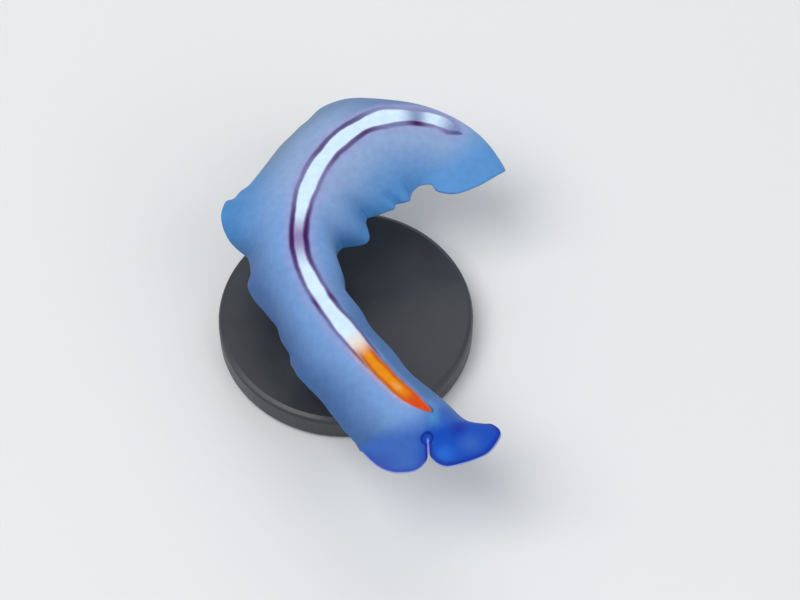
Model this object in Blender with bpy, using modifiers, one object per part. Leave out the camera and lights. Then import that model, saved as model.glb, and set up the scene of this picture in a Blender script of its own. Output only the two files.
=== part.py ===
"""A racing stripe flatworm swimming clear of a plain display stand, at life size.

The body is one thin arched sheet, modelled whole and parted with thin cuts. A place on it is
given by `along`, the distance in mm from the front of the head down the midline, and `across`,
the share of the half-width: -1 on the animal's right margin, 0 on the midline and 1 on the left
margin. Each flank droops from the midline and curls at its margin, and both angles change along
the body, which makes the ruffles. Sizes are in millimetres until `add` turns them into metres.
The origin is the centre of the stand's underside.
"""

import bmesh
import bpy
import numpy as np

MM = 0.001
GAP = 0.3

# Midline from the front of the head to the tip of the tail: across, away and up, in mm.
MIDLINE = (
    (7.6, -21.3, 11.2),
    (7.5, -19.1, 11.6),
    (7.2, -16.9, 11.9),
    (4.9, -14.0, 12.2),
    (1.5, -9.8, 12.5),
    (-1.5, -5.4, 12.5),
    (-3.6, 0.1, 12.3),
    (-3.6, 5.0, 12.5),
    (-2.0, 10.0, 12.7),
    (1.0, 14.0, 12.7),
    (5.3, 15.8, 12.5),
    (9.1, 15.4, 11.9),
    (11.9, 13.6, 11.1),
    (14.2, 10.6, 10.3),
)
# The flanks face square to a chord of this length, which keeps them smooth round the bends.
CHORD = 7.0

# Each flank: place along the midline and half-width in mm, then droop and curl in degrees.
HALF_WIDTH, DROOP, CURL = 1, 2, 3
RIGHT_FLANK = (
    (0.0, 7.0, 4, 0),
    (3.0, 6.3, 13, 8),
    (5.0, 6.4, 22, 10),
    (8.0, 6.1, 30, 10),
    (12.0, 6.0, 34, 22),
    (15.8, 6.2, 40, 8),
    (18.5, 6.3, 49, 24),
    (21.4, 6.3, 54, 26),
    (24.8, 7.0, 45, 14),
    (26.2, 7.1, 43, 34),
    (27.3, 7.3, 42, 34),
    (28.4, 7.9, 36, -8),
    (29.5, 8.2, 30, -30),
    (32.0, 8.0, 34, 2),
    (34.5, 7.9, 40, 9),
    (38.5, 7.7, 40, 8),
    (41.5, 8.0, 38, 3),
    (44.0, 7.3, 58, 5),
    (46.0, 6.6, 80, 14),
    (48.5, 5.2, 99, -4),
    (51.0, 4.9, 96, 12),
    (53.5, 4.7, 90, -4),
    (56.0, 4.6, 80, 0),
)
LEFT_FLANK = (
    (0.0, 7.0, -6, -12),
    (1.8, 7.2, -5, -16),
    (2.8, 6.2, 10, -10),
    (3.8, 5.2, 44, 8),
    (5.4, 5.7, 62, 10),
    (9.0, 6.0, 82, 20),
    (12.0, 6.5, 81, -2),
    (15.0, 6.2, 81, 24),
    (18.0, 6.9, 78, 4),
    (21.0, 6.6, 78, 26),
    (24.0, 7.3, 77, 6),
    (27.0, 6.6, 77, 16),
    (29.0, 6.2, 76, 4),
    (30.0, 7.3, 48, -6),
    (31.0, 7.0, 44, 6),
    (32.0, 6.6, 42, 14),
    (33.2, 6.5, 42, 20),
    (34.6, 7.4, 35, -4),
    (35.5, 7.8, 32, -8),
    (36.4, 7.7, 32, -6),
    (37.8, 8.3, 28, -14),
    (40.0, 8.5, 26, -12),
    (43.0, 8.3, 27, -4),
    (45.8, 7.9, 26, 0),
    (48.4, 7.0, 24, 0),
    (50.4, 6.1, 24, -4),
    (52.0, 5.5, 21, -8),
    (53.4, 5.7, 17, -10),
    (56.0, 5.6, 10, 0),
)
# How sharply the back turns from flat to its droop beside the midline.
ARCH = 2.6
ARC_STEPS = 24

HEAD_HALF_WIDTH = 6.9
HEAD_CORNER = 1.9
# Each lobe's front margin: the place it reaches, how it sweeps back outwards, and the reach from
# which its outer corner falls back more sharply.
RIGHT_LOBE = (-0.5, 0.0, 2.4, 0.2)
LEFT_LOBE = (-0.25, 0.035, 4.6, 0.36)
SLIT_HALF_WIDTH = 0.17
PIT_HALF_WIDTH = 0.45
PIT_PLACE = 2.7
PIT_LENGTH = 0.6
TAIL_ROUND = 4.4
TAIL_FULLNESS = 2.0
TAIL_POWER = 2.2

MID_THICKNESS = 1.4
MARGIN_THICKNESS = 0.55
END_TAPER = 4.0

# Cuts across the body and the half-width of the striped back.
TENTACLE_END = 4.2
HEAD_END = 9.0
FRONT_END = 21.0
MIDDLE_END = 34.5
REAR_END = 46.5
STRIPE_HALF_WIDTH = 1.1

# Grid cells along and across each kind of piece.
TENTACLE_CELLS = {"right": (10, 14), "left": (14, 14)}
HEAD_CELLS = (8, 20)
RIGHT_CELLS = (20, 8)
STRIPE_CELLS = (20, 4)
LEFT_CELLS = (24, 8)
TAIL_CELLS = (12, 18)

BASE_RADIUS = 12.0
BASE_HEIGHT = 3.0
BASE_CHAMFER = 0.5
ROD_RADIUS = 0.75
ROD_ROUNDING = 0.3
ROD_DEPTH = 1.6
HOLE_OVERSHOOT = 1.0
ROD_PLACES = {"stand_rod_front": 16.0, "stand_rod_rear": 33.0}
BASE_SEGMENTS = 96
ROD_SEGMENTS = 48
SMOOTH_ANGLE = 40.0

MODEL = "racing_stripe_flatworm"
CUTTERS = "cutters"

MANTLE_BLUE = (0.13, 0.30, 0.62)
HEAD_BLUE = (0.04, 0.12, 0.50)
STRIPE_WHITE = (0.75, 0.85, 0.95)
STAND_GREY = (0.05, 0.05, 0.055)
ROD_GREY = (0.55, 0.55, 0.56)
SKIN_ROUGHNESS = 0.45
BASE_ROUGHNESS = 0.4
ROD_ROUGHNESS = 0.3


def smooth_curve(stations, values, at):
    """Read a natural cubic spline through `values` at `stations` at each place in `at`."""
    stations = np.asarray(stations, float)
    values = np.asarray(values, float)
    step = np.diff(stations)
    count = len(stations)
    matrix = np.eye(count)
    right_side = np.zeros_like(values)
    for i in range(1, count - 1):
        matrix[i, i - 1:i + 2] = step[i - 1], 2 * (step[i - 1] + step[i]), step[i]
        rise_after = (values[i + 1] - values[i]) / step[i]
        rise_before = (values[i] - values[i - 1]) / step[i - 1]
        right_side[i] = 6 * (rise_after - rise_before)
    bend = np.linalg.solve(matrix, right_side)
    i = np.clip(np.searchsorted(stations, at, side="right") - 1, 0, count - 2)
    before = ((stations[i + 1] - at) / step[i])[..., None]
    after = ((at - stations[i]) / step[i])[..., None]
    scale = (step[i] ** 2 / 6)[..., None]
    return (before * values[i] + after * values[i + 1]
            + scale * ((before ** 3 - before) * bend[i] + (after ** 3 - after) * bend[i + 1]))


def level_curve(stations, values, at):
    """Read a curve through `values` that never swings past them, at each place in `at`."""
    stations = np.asarray(stations, float)
    values = np.asarray(values, float)
    step = np.diff(stations)
    rise = np.diff(values) / step
    slope = np.zeros_like(values)
    slope[0], slope[-1] = rise[0], rise[-1]
    same_way = rise[1:] * rise[:-1] > 0
    weight_before = 2 * step[1:] + step[:-1]
    weight_after = step[1:] + 2 * step[:-1]
    before = np.where(same_way, rise[:-1], 1)
    after = np.where(same_way, rise[1:], 1)
    mean = (weight_before + weight_after) / (weight_before / before + weight_after / after)
    slope[1:-1] = np.where(same_way, mean, 0)
    at = np.clip(at, stations[0], stations[-1])
    i = np.clip(np.searchsorted(stations, at, side="right") - 1, 0, len(stations) - 2)
    u = (at - stations[i]) / step[i]
    return (values[i] * (1 + 2 * u) * (1 - u) ** 2 + step[i] * slope[i] * u * (1 - u) ** 2
            + values[i + 1] * u ** 2 * (3 - 2 * u) + step[i] * slope[i + 1] * u ** 2 * (u - 1))


MIDLINE_PLACES = np.concatenate(
    [[0.0], np.cumsum(np.linalg.norm(np.diff(MIDLINE, axis=0), axis=1))])
BODY_LENGTH = MIDLINE_PLACES[-1]


def midline(along):
    return smooth_curve(MIDLINE_PLACES, MIDLINE, along)


def flank(along, across, column):
    """Read one column of the flank tables: the right one where `across` is negative."""
    right = np.asarray(RIGHT_FLANK, float)
    left = np.asarray(LEFT_FLANK, float)
    return np.where(across < 0,
                    level_curve(right[:, 0], right[:, column], along),
                    level_curve(left[:, 0], left[:, column], along))


def body_axes(along):
    """Return the leftward and upward directions of the body at each place along it."""
    forward = midline(along - CHORD / 2) - midline(along + CHORD / 2)
    forward /= np.linalg.norm(forward, axis=-1, keepdims=True)
    left = np.cross((0.0, 0.0, 1.0), forward)
    left /= np.linalg.norm(left, axis=-1, keepdims=True)
    return left, np.cross(forward, left)


def sheet(along, across):
    """Place points on the middle of the body's thickness.

    The flank's angle is its droop, which sets in quickly beside the midline, plus its curl,
    which grows with the square of `across`. Walking out from the midline at that angle gives
    the distance to the side and the drop.
    """
    along, across = np.broadcast_arrays(along, across)
    share = np.abs(across)
    steps = share[..., None] * (np.arange(ARC_STEPS) + 0.5) / ARC_STEPS
    droop = np.radians(flank(along, across, DROOP))[..., None]
    curl = np.radians(flank(along, across, CURL))[..., None]
    angle = droop * np.tanh(ARCH * steps) / np.tanh(ARCH) + curl * steps ** 2
    half_width = flank(along, across, HALF_WIDTH)
    aside = across * half_width * np.cos(angle).mean(-1)
    drop = share * half_width * np.sin(angle).mean(-1)
    left, up = body_axes(along)
    return midline(along) + aside[..., None] * left - drop[..., None] * up


def lobe_edge(reach, lobe):
    front, sweep, corner, fall = lobe
    return front + sweep * reach ** 2 + fall * np.maximum(reach - corner, 0) ** 2


def head_edge(across):
    """Return where the front margin lies: two lobes with a round corner beside the slit."""
    reach = np.abs(across) * HEAD_HALF_WIDTH
    to_slit = np.clip(1 - reach / HEAD_CORNER, 0, 1)
    corner = HEAD_CORNER * (1 - np.sqrt(1 - to_slit ** 2))
    return corner + np.where(across < 0, lobe_edge(reach, RIGHT_LOBE), lobe_edge(reach, LEFT_LOBE))


def tail_edge(across):
    """Return where the body ends, on a round tail that is fuller on the left."""
    depth = TAIL_ROUND - TAIL_FULLNESS * (across > 0)
    return BODY_LENGTH - depth * (1 - np.sqrt(1 - np.abs(across) ** TAIL_POWER))


def thickness(along, across):
    """Return the body's thickness: most under the stripe, least at the margin and the ends."""
    to_end = np.minimum(along - head_edge(across), tail_edge(across) - along)
    end = np.clip(to_end / END_TAPER, 0, 1)
    full = (1 - across ** 2) * end * (2 - end)
    return MARGIN_THICKNESS + (MID_THICKNESS - MARGIN_THICKNESS) * full


def slit_side(sign):
    """Return the side of the slit between the lobes, which has a round pit at its end."""
    def edge(along):
        pit = np.exp(-((along - PIT_PLACE) / PIT_LENGTH) ** 2)
        half_gap = SLIT_HALF_WIDTH + (PIT_HALF_WIDTH - SLIT_HALF_WIDTH) * pit
        return sign * half_gap / HEAD_HALF_WIDTH
    return edge


def cut(place, side):
    """Return the edge that a piece has at a cut across the body, half a gap to one side."""
    def edge(across):
        span = sheet(place + GAP, across) - sheet(place - GAP, across)
        stretch = np.linalg.norm(span, axis=-1) / (2 * GAP)
        return place + side * GAP / 2 / stretch
    return edge


def stripe_side(sign, side):
    """Return the edge that a piece has along one side of the striped back."""
    def edge(along):
        reach = STRIPE_HALF_WIDTH + side * GAP / 2
        return sign * reach / flank(along, sign, HALF_WIDTH)
    return edge


def margin(sign):
    return lambda along: np.full_like(along, sign)


def material(name, colour, roughness, metallic=0.0):
    made = bpy.data.materials.new(name)
    made.use_nodes = True
    shader = made.node_tree.nodes["Principled BSDF"]
    shader.inputs["Base Color"].default_value = (*colour, 1.0)
    shader.inputs["Roughness"].default_value = roughness
    shader.inputs["Metallic"].default_value = metallic
    return made


def add(mesh, name, colour, roughness, metallic=0.0):
    """Turn a bmesh in mm into a named object in metres."""
    bmesh.ops.scale(mesh, vec=(MM, MM, MM), verts=mesh.verts)
    data = bpy.data.meshes.new(name)
    mesh.to_mesh(data)
    mesh.free()
    data.materials.append(material(name, colour, roughness, metallic))
    thing = bpy.data.objects.new(name, data)
    bpy.data.collections[MODEL].objects.link(thing)
    return thing


def body_piece(name, first, last, low, high, colour, cells):
    """Make one length of the body: a grid laid on the sheet, then thickened.

    `first` and `last` give the place along the body for each place across it, and `low` and
    `high` give the place across for each place along. `cells` counts the grid's cells along
    and across.
    """
    mesh = bmesh.new()
    bmesh.ops.create_grid(mesh, x_segments=cells[0], y_segments=cells[1], size=1)
    grid = np.array([vertex.co for vertex in mesh.verts])
    u, v = (grid[:, 0] + 1) / 2, (grid[:, 1] + 1) / 2
    centre = np.zeros(1)
    halfway = (first(centre) + last(centre)) / 2
    nominal = low(halfway) * (1 - v) + high(halfway) * v
    along = first(nominal) * (1 - u) + last(nominal) * u
    across = low(along) * (1 - v) + high(along) * v
    for vertex, spot in zip(mesh.verts, sheet(along, across)):
        vertex.co = spot
    piece = add(mesh, name, colour, SKIN_ROUGHNESS)
    weights = piece.vertex_groups.new(name="thickness")
    for index, thick in enumerate(thickness(along, across)):
        weights.add([index], thick / MID_THICKNESS, "REPLACE")
    shell = piece.modifiers.new("thickness", "SOLIDIFY")
    shell.thickness = MID_THICKNESS * MM
    shell.offset = 0
    shell.vertex_group = weights.name
    shell.use_quality_normals = True
    piece.data.shade_smooth()
    return piece


def make_body():
    """Part the sheet into the head, its two tentacles, three lengths and the tail."""
    right, left = margin(-1), margin(1)
    body_piece("pseudotentacle_right", head_edge, cut(TENTACLE_END, -1),
               right, slit_side(-1), HEAD_BLUE, TENTACLE_CELLS["right"])
    body_piece("pseudotentacle_left", head_edge, cut(TENTACLE_END, -1),
               slit_side(1), left, HEAD_BLUE, TENTACLE_CELLS["left"])
    body_piece("head", cut(TENTACLE_END, 1), cut(HEAD_END, -1),
               right, left, MANTLE_BLUE, HEAD_CELLS)
    places = {"front": HEAD_END, "middle": FRONT_END, "rear": MIDDLE_END}
    ends = {"front": FRONT_END, "middle": MIDDLE_END, "rear": REAR_END}
    for length, place in places.items():
        first, last = cut(place, 1), cut(ends[length], -1)
        body_piece(f"mantle_right_{length}", first, last,
                   right, stripe_side(-1, 1), MANTLE_BLUE, RIGHT_CELLS)
        body_piece(f"stripe_{length}", first, last,
                   stripe_side(-1, -1), stripe_side(1, -1), STRIPE_WHITE, STRIPE_CELLS)
        body_piece(f"mantle_left_{length}", first, last,
                   stripe_side(1, 1), left, MANTLE_BLUE, LEFT_CELLS)
    body_piece("tail", cut(REAR_END, 1), tail_edge, right, left, MANTLE_BLUE, TAIL_CELLS)


def cylinder(radius, bottom, top, spot, segments):
    """Return a bmesh cylinder that stands on `bottom` at a place seen from above."""
    mesh = bmesh.new()
    bmesh.ops.create_cone(mesh, cap_ends=True, segments=segments, radius1=radius,
                          radius2=radius, depth=top - bottom)
    bmesh.ops.translate(mesh, verts=mesh.verts, vec=(spot[0], spot[1], (bottom + top) / 2))
    return mesh


def round_edges(thing, width, segments):
    bevel = thing.modifiers.new("rounding", "BEVEL")
    bevel.width = width * MM
    bevel.segments = segments
    thing.data.shade_smooth()
    thing.data.set_sharp_from_angle(angle=np.radians(SMOOTH_ANGLE))


def make_stand():
    """Stand two rods in the base and run them up to just under the midline."""
    disc = cylinder(BASE_RADIUS, 0, BASE_HEIGHT, (0, 0), BASE_SEGMENTS)
    base = add(disc, "stand_base", STAND_GREY, BASE_ROUGHNESS)
    round_edges(base, BASE_CHAMFER, 2)
    for name, place in ROD_PLACES.items():
        x, y, middle = midline(np.array(place))
        top = middle - thickness(np.array(place), np.array(0.0)) / 2 - GAP
        bottom = BASE_HEIGHT - ROD_DEPTH
        rod = add(cylinder(ROD_RADIUS, bottom, top, (x, y), ROD_SEGMENTS), name, ROD_GREY,
                  ROD_ROUGHNESS, metallic=1.0)
        round_edges(rod, ROD_ROUNDING, 3)
        hole = cylinder(ROD_RADIUS + GAP / 2, bottom - GAP, BASE_HEIGHT + HOLE_OVERSHOOT, (x, y),
                        ROD_SEGMENTS)
        cutter = add(hole, f"hole_for_{name}", STAND_GREY, BASE_ROUGHNESS)
        bpy.data.collections[MODEL].objects.unlink(cutter)
        bpy.data.collections[CUTTERS].objects.link(cutter)
        cutter.hide_render = True
        cutter.display_type = "WIRE"
        drill = base.modifiers.new(cutter.name, "BOOLEAN")
        drill.object = cutter


def main():
    for thing in list(bpy.data.objects):
        bpy.data.objects.remove(thing)
    for name in (MODEL, CUTTERS):
        collection = bpy.data.collections.new(name)
        bpy.context.scene.collection.children.link(collection)
    make_body()
    make_stand()


if __name__ == "__main__":
    main()
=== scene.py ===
"""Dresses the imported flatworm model: one seamless painted skin for the body, and a finished stand.

The body is one thin arched sheet. A place on it is given by `along`, the distance in mm from the
front of the head down the midline, and `across`, the share of the half-width: -1 on the animal's
right margin, 0 on the midline and 1 on the left margin. The numbers that lay the sheet out are
those of the solids, in millimetres, and `to_mesh` turns them into metres.
"""

import bpy
import numpy as np
from bpy.props import FloatProperty, FloatVectorProperty, PointerProperty
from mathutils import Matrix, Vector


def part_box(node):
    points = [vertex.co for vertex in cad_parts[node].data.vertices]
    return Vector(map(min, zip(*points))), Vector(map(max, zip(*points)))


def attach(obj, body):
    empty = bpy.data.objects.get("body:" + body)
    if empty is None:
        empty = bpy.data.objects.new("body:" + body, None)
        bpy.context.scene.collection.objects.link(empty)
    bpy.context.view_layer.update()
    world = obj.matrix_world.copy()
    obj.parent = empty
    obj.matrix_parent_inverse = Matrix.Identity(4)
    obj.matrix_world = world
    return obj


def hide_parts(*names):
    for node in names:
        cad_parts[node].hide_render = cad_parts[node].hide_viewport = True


bl_info = {
    "name": "Racing Stripe Flatworm",
    "version": (1, 0, 0),
    "blender": (4, 5, 0),
    "location": "3D View > Sidebar > Flatworm",
    "description": "Dresses the flatworm's solids with a painted skin, a stand and a stage",
    "category": "Object",
}

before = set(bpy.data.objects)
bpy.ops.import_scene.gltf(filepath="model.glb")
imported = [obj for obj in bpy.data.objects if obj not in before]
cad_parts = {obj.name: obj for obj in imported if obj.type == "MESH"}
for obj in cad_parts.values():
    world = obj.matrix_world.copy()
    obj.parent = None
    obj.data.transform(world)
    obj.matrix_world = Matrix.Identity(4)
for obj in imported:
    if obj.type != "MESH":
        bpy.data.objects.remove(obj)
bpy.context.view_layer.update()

MM = 0.001

# Midline from the front of the head to the tip of the tail: across, away and up, in mm.
MIDLINE = np.array((
    (7.6, -21.3, 11.2),
    (7.5, -19.1, 11.6),
    (7.2, -16.9, 11.9),
    (4.9, -14.0, 12.2),
    (1.5, -9.8, 12.5),
    (-1.5, -5.4, 12.5),
    (-3.6, 0.1, 12.3),
    (-3.6, 5.0, 12.5),
    (-2.0, 10.0, 12.7),
    (1.0, 14.0, 12.7),
    (5.3, 15.8, 12.5),
    (9.1, 15.4, 11.9),
    (11.9, 13.6, 11.1),
    (14.2, 10.6, 10.3),
))
# The flanks face square to a chord of this length, which keeps them smooth round the bends.
CHORD = 7.0

# Each flank: place along the midline and half-width in mm, then droop and curl in degrees.
HALF_WIDTH, DROOP, CURL = 1, 2, 3
RIGHT_FLANK = np.array((
    (0.0, 7.0, 4, 0),
    (3.0, 6.3, 13, 8),
    (5.0, 6.4, 22, 10),
    (8.0, 6.1, 30, 10),
    (12.0, 6.0, 34, 22),
    (15.8, 6.2, 40, 8),
    (18.5, 6.3, 49, 24),
    (21.4, 6.3, 54, 26),
    (24.8, 7.0, 45, 14),
    (26.2, 7.1, 43, 34),
    (27.3, 7.3, 42, 34),
    (28.4, 7.9, 36, -8),
    (29.5, 8.2, 30, -30),
    (32.0, 8.0, 34, 2),
    (34.5, 7.9, 40, 9),
    (38.5, 7.7, 40, 8),
    (41.5, 8.0, 38, 3),
    (44.0, 7.3, 58, 5),
    (46.0, 6.6, 80, 14),
    (48.5, 5.2, 99, -4),
    (51.0, 4.9, 96, 12),
    (53.5, 4.7, 90, -4),
    (56.0, 4.6, 80, 0),
))
LEFT_FLANK = np.array((
    (0.0, 7.0, -6, -12),
    (1.8, 7.2, -5, -16),
    (2.8, 6.2, 10, -10),
    (3.8, 5.2, 44, 8),
    (5.4, 5.7, 62, 10),
    (9.0, 6.0, 82, 20),
    (12.0, 6.5, 81, -2),
    (15.0, 6.2, 81, 24),
    (18.0, 6.9, 78, 4),
    (21.0, 6.6, 78, 26),
    (24.0, 7.3, 77, 6),
    (27.0, 6.6, 77, 16),
    (29.0, 6.2, 76, 4),
    (30.0, 7.3, 48, -6),
    (31.0, 7.0, 44, 6),
    (32.0, 6.6, 42, 14),
    (33.2, 6.5, 42, 20),
    (34.6, 7.4, 35, -4),
    (35.5, 7.8, 32, -8),
    (36.4, 7.7, 32, -6),
    (37.8, 8.3, 28, -14),
    (40.0, 8.5, 26, -12),
    (43.0, 8.3, 27, -4),
    (45.8, 7.9, 26, 0),
    (48.4, 7.0, 24, 0),
    (50.4, 6.1, 24, -4),
    (52.0, 5.5, 21, -8),
    (53.4, 5.7, 17, -10),
    (56.0, 5.6, 10, 0),
))
# How sharply the back turns from flat to its droop beside the midline, and the number of steps
# in which the way out along the flank is added up.
ARCH = 2.6
ARC_STEPS = 24
# The lengths in mm over which a fold of the flank is softened near the stripe.
SOFT_SHIFTS = (-1.0, -0.5, 0.0, 0.5, 1.0)

# The half-width at which the front margin is drawn, and the radius of its corners at the slit.
HEAD_HALF_WIDTH = 6.9
HEAD_CORNER = 1.9
# Each lobe's front margin: the place it reaches, how it sweeps back outwards, and the reach from
# which its outer corner falls back more sharply.
RIGHT_LOBE = (-0.5, 0.0, 2.4, 0.2)
LEFT_LOBE = (-0.25, 0.035, 4.6, 0.36)
# The tail's end is half an oval: how far it falls back at the right margin, how much less it does
# at the left one, and the oval's power.
TAIL_ROUND = 4.4
TAIL_FULLNESS = 2.0
TAIL_POWER = 2.2
# The corners rounded off in the skin, at the right of the head and the left of the tail: the share
# of the half-width over which the edge falls back, and how far in mm.
HEAD_OUTER_CORNER = (0.16, 1.0)
TAIL_OUTER_CORNER = (0.30, 1.1)

# The round pit where the lobes meet: its place along, its offset to the left and its radius.
PIT_PLACE, PIT_ASIDE, PIT_RADIUS = 2.5, -0.08, 0.49

# The stripe: place along, then its middle's offset to the left, the half-width of its pale band
# and the widths of its right and left borders in mm, and how dark the borders are.
STRIPE = np.array((
    (4.1, 0.80, -0.90, 0.00, 0.00, 0.6),
    (4.5, 0.56, -0.06, 0.06, 0.20, 0.9),
    (4.9, 0.34, 0.22, 0.04, 0.20, 0.9),
    (5.4, 0.10, 0.36, 0.05, 0.14, 0.6),
    (6.0, -0.07, 0.48, 0.04, 0.10, 0.4),
    (7.0, -0.15, 0.55, 0.04, 0.12, 0.4),
    (8.0, -0.19, 0.56, 0.04, 0.12, 0.5),
    (10.0, -0.19, 0.57, 0.06, 0.12, 0.5),
    (11.0, -0.19, 0.54, 0.12, 0.15, 0.6),
    (12.0, -0.18, 0.51, 0.20, 0.19, 0.85),
    (13.0, -0.17, 0.53, 0.25, 0.23, 0.8),
    (14.0, -0.17, 0.57, 0.26, 0.24, 0.6),
    (15.4, -0.16, 0.58, 0.28, 0.26, 0.55),
    (18.0, -0.15, 0.44, 0.34, 0.38, 0.7),
    (19.0, -0.15, 0.43, 0.36, 0.40, 0.95),
    (20.2, -0.15, 0.46, 0.32, 0.34, 0.6),
    (22.0, -0.17, 0.42, 0.36, 0.34, 0.7),
    (24.0, -0.26, 0.32, 0.44, 0.42, 0.9),
    (26.2, -0.30, 0.27, 0.52, 0.50, 1.0),
    (28.2, -0.26, 0.35, 0.47, 0.42, 0.95),
    (30.0, -0.24, 0.48, 0.44, 0.36, 0.7),
    (32.0, -0.22, 0.62, 0.44, 0.36, 0.5),
    (34.2, -0.20, 0.61, 0.48, 0.40, 0.55),
    (36.0, -0.08, 0.54, 0.54, 0.48, 0.8),
    (38.0, 0.02, 0.66, 0.48, 0.50, 0.75),
    (40.4, 0.11, 0.53, 0.60, 0.54, 0.9),
    (42.8, 0.10, 0.75, 0.46, 0.50, 0.5),
    (44.4, 0.22, 0.60, 0.42, 0.50, 0.5),
    (46.0, 0.26, 0.44, 0.46, 0.58, 1.0),
    (47.2, 0.20, 0.52, 0.36, 0.42, 0.55),
    (48.3, 0.18, 0.50, 0.36, 0.34, 0.3),
    (49.3, 0.16, 0.38, 0.36, 0.50, 0.65),
    (50.0, 0.12, 0.02, 0.40, 0.56, 0.9),
    (50.5, 0.08, -0.30, 0.40, 0.56, 0.85),
    (51.4, 0.06, -1.50, 0.00, 0.00, 0.5),
))
# The stripe's right border fades between these places, and loses this share of its strength.
FADE_START, FADE_END = 39.0, 45.0
FADE_STRENGTH = 0.7

# The rods stand under these places of the midline.
ROD_PLACES = (16.0, 33.0)
MOUTH_PLACE = 11.0
SUCKER_PLACE = 27.5

# Rows and columns beside each margin, in mm from it, which draw its rounded edge, and columns
# beside the midline. The evenly spaced ones between them begin at the inset.
MARGIN_ROWS = np.array([0.0, 0.01, 0.035, 0.08, 0.14, 0.22, 0.32])
MIDDLE_COLUMNS = np.array([0.0, 0.02, 0.05, 0.09, 0.14, 0.20, 0.27, 0.34])
ROW_INSET = 0.42
ROWS = 322
HALF_COLUMNS = 46
# The length in mm behind the front margin over which the rows lose the slit's corner.
CORNER_FADE = 6.0
# A step along or across the sheet, short enough to read a slope from.
SMALL = 1e-3
# The points are measured in this many blocks, which keeps the memory needed low.
SEARCH_BLOCKS = 60

# The small frills: their length in mm, how far and over what length their rhythm wanders, how they
# swell about their mean over a longer length, and the power with which they die out inward.
FRILL_LENGTH, FRILL_WANDER, WANDER_LENGTH = 2.1, 1.4, 7.7
FRILL_MEAN, FRILL_SWELL, SWELL_LENGTH = 0.55, 0.45, 12.0
FRILL_POWER = 7
# The place behind the head where the frills begin, and where they are full.
FRILL_START, FRILL_FULL = 4.0, 8.0

# The relief of the skin in mm. The belly swells over each rod, within a reach along the body.
PAD_HEIGHT, PAD_RADIUS, PAD_REACH = 0.62, 1.35, 5.0
# The mouth is an oval hollow with folded lips.
MOUTH_STRETCH, MOUTH_DEPTH, MOUTH_RADIUS = 1.3, 0.35, 0.35
LIP_HEIGHT, LIP_RADIUS, LIP_WIDTH = 0.12, 0.55, 0.22
LIP_FOLDS, LIP_FOLD_SHARE = 11, 0.25
# The sucker is a small cup with a raised rim.
CUP_DEPTH, CUP_RADIUS = 0.12, 0.5
CUP_RIM_HEIGHT, CUP_RIM_RADIUS, CUP_RIM_WIDTH = 0.1, 0.7, 0.2
# The pit between the lobes has a soft edge and a low rim outside it. The seam in front of it is
# shallower by a share, and ends at the pit's middle.
PIT_DEPTH, PIT_SOFTNESS = 0.24, 0.07
PIT_RIM_HEIGHT, PIT_RIM_PLACE, PIT_RIM_WIDTH = 0.05, 0.12, 0.12
SEAM_SHARE, SEAM_WIDTH, SEAM_SOFTNESS = 0.6, 0.07, 0.2
# How far from the margin the relief of the back and of the belly is full.
BACK_RELIEF_FROM, BELLY_RELIEF_FROM = 0.3, 1.5

# A collar's profile in mm: its round shoulder, its gap to the rod and the bevel inside its lip.
COLLAR_SHOULDER, COLLAR_GAP, COLLAR_BEVEL = 0.25, 0.02, 0.08
SHOULDER_POINTS, COLLAR_SEGMENTS = 7, 64

# Soft square lights that face the origin: name, place and width in metres, and power in watts.
LIGHTS = (
    ("key", (-0.25, -0.10, 0.55), 0.45, 2.25),
    ("fill", (0.40, -0.25, 0.35), 0.45, 0.9),
    ("back", (0.05, 0.45, 0.30), 0.40, 0.7),
)
SKY_COLOUR, SKY_STRENGTH = (0.86, 0.90, 1.0, 1.0), 0.42
# The camera looks down at this angle in degrees and sees from and to these distances in metres.
LOOK_DOWN = 56.0
SEEN_FROM, SEEN_TO = 0.01, 20.0
SENSOR_WIDTH = 36.0
# The body's middle, in mm, lies at this pixel of the picture.
BODY_MIDDLE = (1.5, -3.0, 12.0)
PICTURE_SIZE = np.array([800, 600])
MIDDLE_PIXEL = np.array([360, 285])


def smooth_curve(stations, values, at):
    """Read a natural cubic spline through `values` at `stations` at each place in `at`."""
    step = np.diff(stations)
    count = len(stations)
    matrix = np.eye(count)
    right_side = np.zeros_like(values)
    for i in range(1, count - 1):
        matrix[i, i - 1:i + 2] = step[i - 1], 2 * (step[i - 1] + step[i]), step[i]
        rise_after = (values[i + 1] - values[i]) / step[i]
        rise_before = (values[i] - values[i - 1]) / step[i - 1]
        right_side[i] = 6 * (rise_after - rise_before)
    bend = np.linalg.solve(matrix, right_side)
    i = np.clip(np.searchsorted(stations, at, side="right") - 1, 0, count - 2)
    before = ((stations[i + 1] - at) / step[i])[..., None]
    after = ((at - stations[i]) / step[i])[..., None]
    scale = (step[i] ** 2 / 6)[..., None]
    return (before * values[i] + after * values[i + 1]
            + scale * ((before ** 3 - before) * bend[i] + (after ** 3 - after) * bend[i + 1]))


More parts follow.
